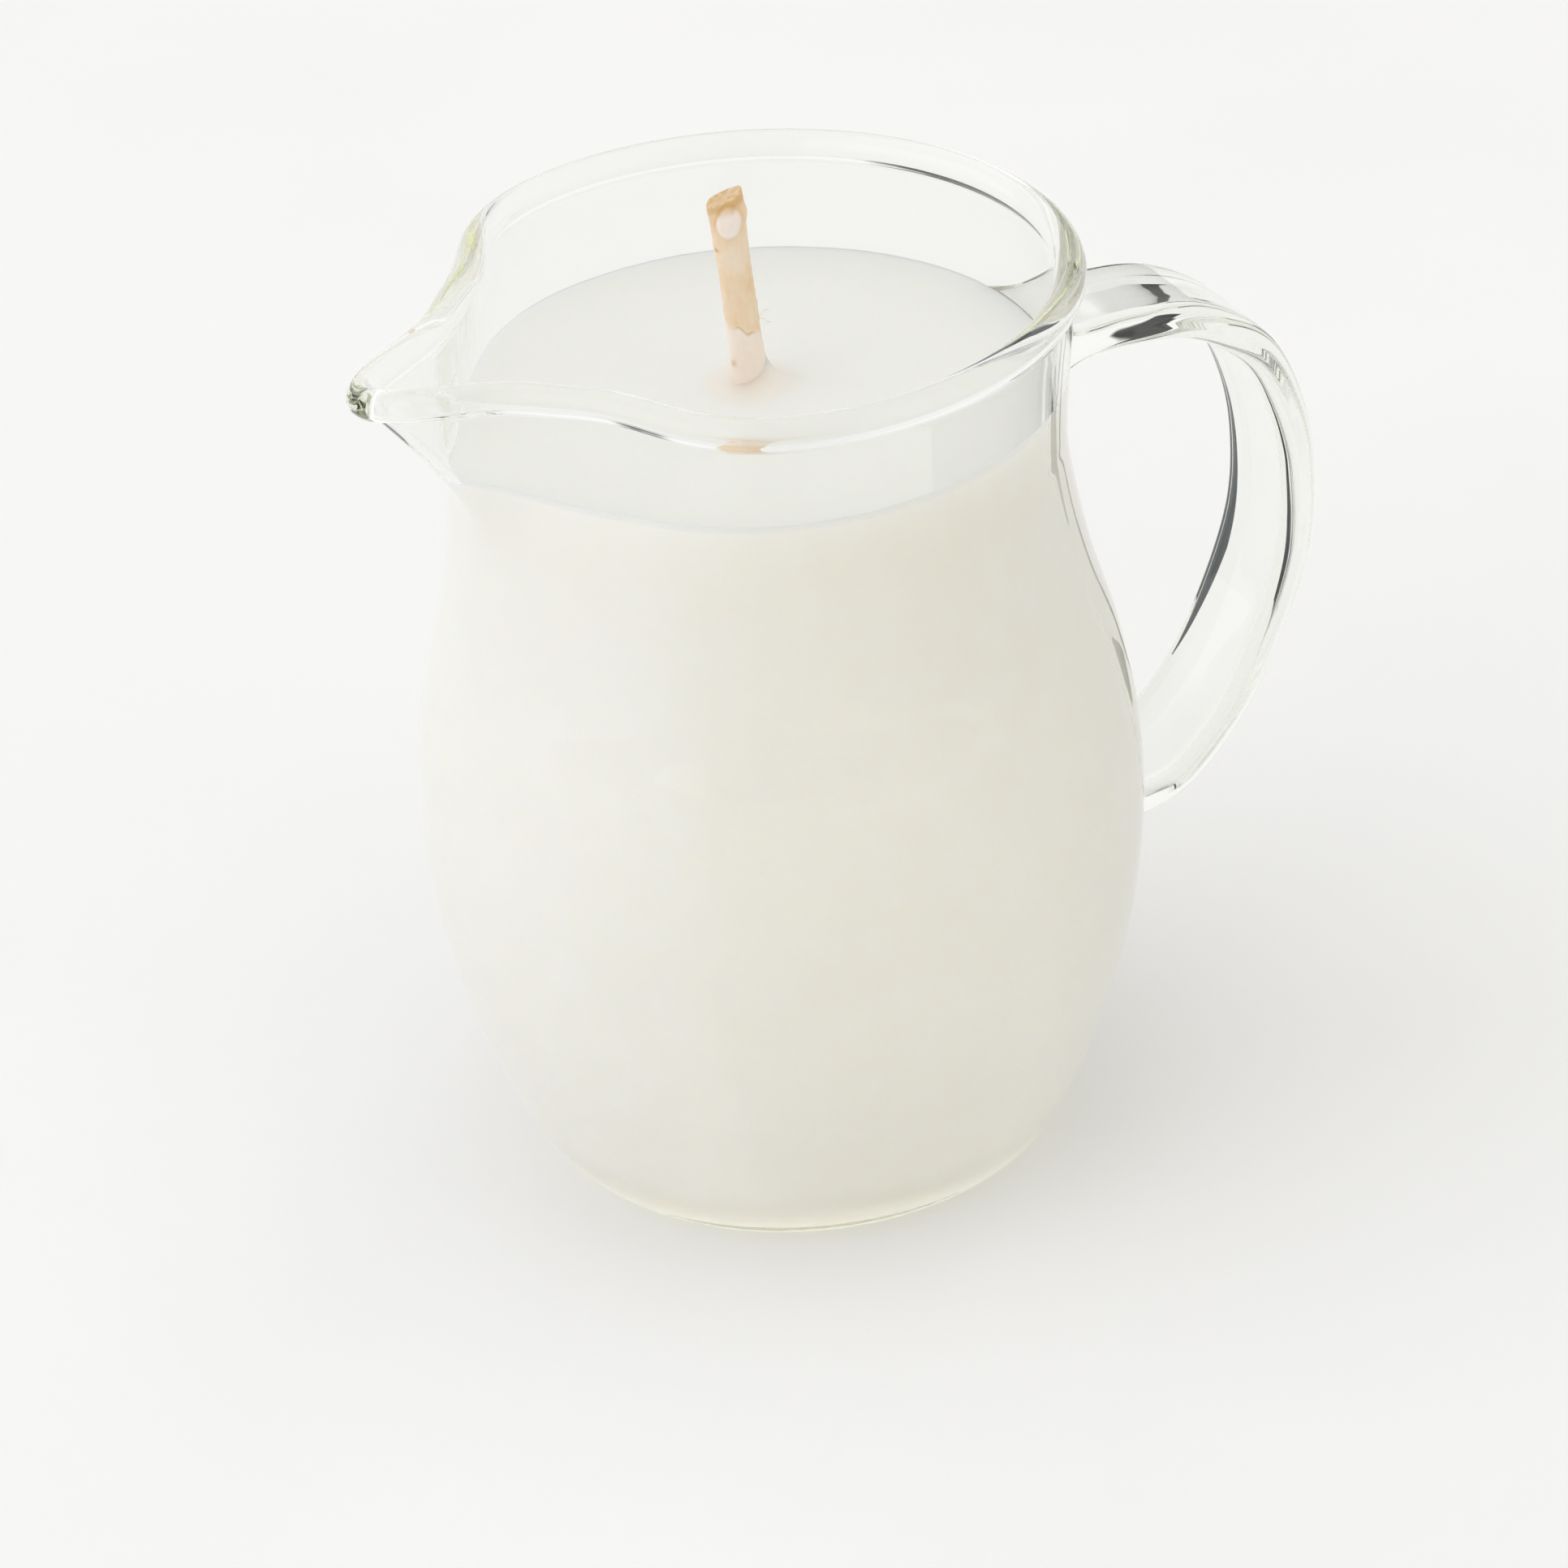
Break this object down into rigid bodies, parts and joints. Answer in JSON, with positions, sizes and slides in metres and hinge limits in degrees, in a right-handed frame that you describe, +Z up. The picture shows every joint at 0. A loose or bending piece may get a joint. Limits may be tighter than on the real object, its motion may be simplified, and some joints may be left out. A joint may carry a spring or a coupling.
{
  "type": "glass jug candle",
  "caption": "Clear glass pouring jug with a drawn spout and strap handle, filled with a poured wax candle and an upright wick.",
  "frame": {"origin": "centre of the flat face the jug stands on", "axes": "+Z up, +X toward the handle, -X toward the spout, +Y to the side"},
  "size_m": [0.1047, 0.0752, 0.1081],
  "materials": {
    "clear_glass": "clear, fire polished",
    "candle_wax": "slightly translucent white wax",
    "waxed_cotton": "braided cotton soaked in wax",
    "tinned_steel": "tin plate",
    "adhesive_foam": "closed-cell foam"
  },
  "bodies": {
    "root": {"jug_bowl": "clear_glass", "jug_mouth": "clear_glass", "handle": "clear_glass", "wax_fill": "candle_wax", "wick": "waxed_cotton", "wick_sustainer": "tinned_steel", "adhesive_dot": "adhesive_foam"}
  },
  "joints": []
}
